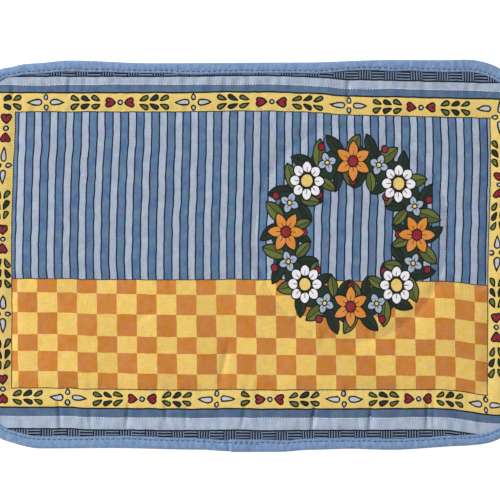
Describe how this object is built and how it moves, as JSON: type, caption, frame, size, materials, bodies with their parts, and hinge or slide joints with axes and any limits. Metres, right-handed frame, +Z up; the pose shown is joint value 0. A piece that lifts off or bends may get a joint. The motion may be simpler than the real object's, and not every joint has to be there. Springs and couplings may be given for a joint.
{
  "type": "placemat",
  "caption": "Quilted cotton placemat with rounded corners, a folded binding round its edge and a printed border round a striped and checked field.",
  "frame": {"origin": "on the table, under the middle of the mat's box", "axes": "+X along the mat's length, towards the print's right side; +Y along its width, towards the print's top; +Z up from the table"},
  "size_m": [0.4626, 0.3084, 0.0045],
  "materials": {
    "printed_cotton": "matte plain weave, printed",
    "blue_cotton": "matte plain weave"
  },
  "bodies": {
    "root": {"quilted_panel": "printed_cotton", "edge_binding": "blue_cotton"}
  },
  "joints": []
}
